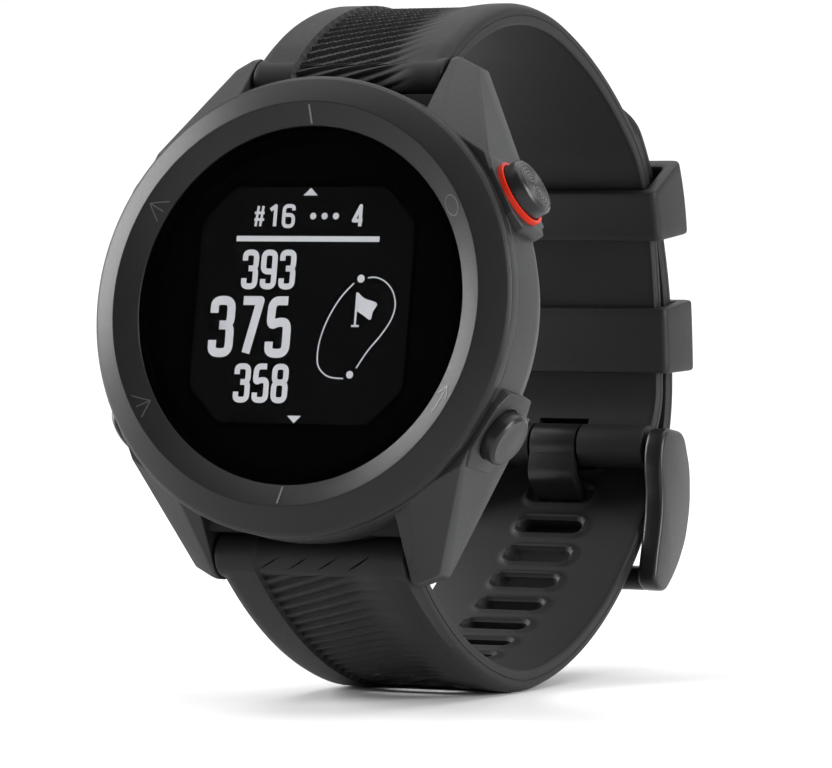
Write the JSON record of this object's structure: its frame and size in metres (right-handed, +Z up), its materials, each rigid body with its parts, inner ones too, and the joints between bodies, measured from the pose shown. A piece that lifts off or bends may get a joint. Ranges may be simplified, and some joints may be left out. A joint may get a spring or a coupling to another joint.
{
  "type": "golf gps watch",
  "caption": "Round golf watch with a glass dial, side keys and a buckled silicone band, closed as on a wrist; band, keys, buckle, tang and keepers move.",
  "frame": {"origin": "middle of the case back's outer face", "axes": "+Z up as the watch stands on its band loop, with the dial facing -Y and leaning back 10 degrees; +X towards 3 o'clock"},
  "size_m": [0.0444, 0.0715, 0.0673],
  "materials": {
    "case_polymer": "fine matt texture",
    "bezel_polymer": "fine matt texture",
    "mark_paint": "printed",
    "lens_glass": "clear over a black mask",
    "adhesive": "matt",
    "display": "reflective memory display",
    "flex_film": "polyimide film",
    "chassis_polymer": "glass filled",
    "board": "solder mask",
    "shield_metal": "tinned",
    "ceramic": "fired ceramic",
    "cell_wrap": "laminated foil",
    "foam": "open cell",
    "cover_polymer": "satin",
    "seal_rubber": "smooth",
    "steel": "plain",
    "gold": "gold plated",
    "black_rubber": "smooth",
    "switch_metal": "plain",
    "accent": "satin",
    "button_coat": "satin black",
    "button_knurled": "satin black",
    "band_silicone": "fine matt silicone",
    "buckle_coat": "satin black"
  },
  "bodies": {
    "band_long": {"lower_strap": "band_silicone", "bottom_spring_bar": "steel", "bottom_bar_spring": "steel"},
    "case": {"case_body": "case_polymer", "bezel_ring": "bezel_polymer", "bezel_marks": "mark_paint", "lens": "lens_glass", "lens_gasket": "adhesive", "display_module": "display", "display_flex": "flex_film", "chassis_frame": "chassis_polymer", "main_board": "board", "board_shield": "shield_metal", "gps_antenna": "ceramic", "battery": "cell_wrap", "battery_pad": "foam", "back_cover": "cover_polymer", "back_gasket": "seal_rubber", "back_screws": "steel", "charging_contacts": "gold", "button_seals": "black_rubber", "button_switches": "switch_metal", "ok_accent_ring": "accent"},
    "band_short": {"upper_strap": "band_silicone", "top_spring_bar": "steel", "top_bar_spring": "steel", "buckle_bar": "steel"},
    "buckle": {"buckle_frame": "buckle_coat"},
    "tang": {"buckle_tang": "buckle_coat"},
    "keeper_low": {"lower_keeper": "band_silicone"},
    "keeper_high": {"upper_keeper": "band_silicone"},
    "pin_bottom": {"bottom_release_pin": "steel"},
    "pin_top": {"top_release_pin": "steel"},
    "key_up": {"up_button": "button_coat", "up_clip": "steel"},
    "key_down": {"down_button": "button_coat", "down_clip": "steel"},
    "key_ok": {"ok_button": "button_knurled", "ok_clip": "steel"},
    "key_back": {"back_button": "button_coat", "back_clip": "steel"}
  },
  "joints": [
    {"name": "lower_lug_pivot", "type": "hinge", "parent": "band_long", "child": "case", "pos_m": [0, -0.00613, -0.02207], "axis": [1, 0, 0], "range_deg": [0, 40], "deforming": ["lower_strap"]},
    {"name": "upper_lug_pivot", "type": "hinge", "parent": "case", "child": "band_short", "pos_m": [0, 0.00179, 0.02284], "axis": [1, 0, 0], "range_deg": [0, 70]},
    {"name": "buckle_pivot", "type": "hinge", "parent": "band_short", "child": "buckle", "pos_m": [0, 0.04849, -0.01353], "axis": [1, 0, 0], "range_deg": [0, 40]},
    {"name": "tang_pivot", "type": "hinge", "parent": "band_short", "child": "tang", "pos_m": [0, 0.04849, -0.01353], "axis": [1, 0, 0], "range_deg": [0, 90]},
    {"name": "lower_keeper_shift", "type": "hinge", "parent": "band_short", "child": "keeper_low", "pos_m": [0, -0.02278, -0.0079], "axis": [1, 0, 0], "range_deg": [-1.5, 2.4]},
    {"name": "upper_keeper_shift", "type": "hinge", "parent": "band_short", "child": "keeper_high", "pos_m": [0, 0.03381, 0.00611], "axis": [1, 0, 0], "range_deg": [-1, 5]},
    {"name": "bottom_pin_release", "type": "slide", "parent": "band_long", "child": "pin_bottom", "axis": [-1, 0, 0], "range_m": [0, 0.0015], "stiffness_N_per_m": 300, "springref_m": -0.001, "deforming": ["bottom_bar_spring"]},
    {"name": "top_pin_release", "type": "slide", "parent": "band_short", "child": "pin_top", "axis": [-1, 0, 0], "range_m": [0, 0.0015], "stiffness_N_per_m": 300, "springref_m": -0.001, "deforming": ["top_bar_spring"]},
    {"name": "up_press", "type": "slide", "parent": "case", "child": "key_up", "axis": [0.866, -0.0868, -0.4924], "range_m": [0, 0.0006], "stiffness_N_per_m": 800, "springref_m": -0.0003},
    {"name": "down_press", "type": "slide", "parent": "case", "child": "key_down", "axis": [0.866, 0.0868, 0.4924], "range_m": [0, 0.0006], "stiffness_N_per_m": 800, "springref_m": -0.0003},
    {"name": "ok_press", "type": "slide", "parent": "case", "child": "key_ok", "axis": [-0.866, -0.0868, -0.4924], "range_m": [0, 0.0006], "stiffness_N_per_m": 800, "springref_m": -0.0003},
    {"name": "back_press", "type": "slide", "parent": "case", "child": "key_back", "axis": [-0.866, 0.0868, 0.4924], "range_m": [0, 0.0006], "stiffness_N_per_m": 800, "springref_m": -0.0003}
  ],
  "couplings": [
    {"joint": "upper_lug_pivot", "follows": "lower_lug_pivot", "ratio": 1.75},
    {"joint": "buckle_pivot", "follows": "lower_lug_pivot", "ratio": 1},
    {"joint": "tang_pivot", "follows": "lower_lug_pivot", "ratio": 2.25}
  ]
}
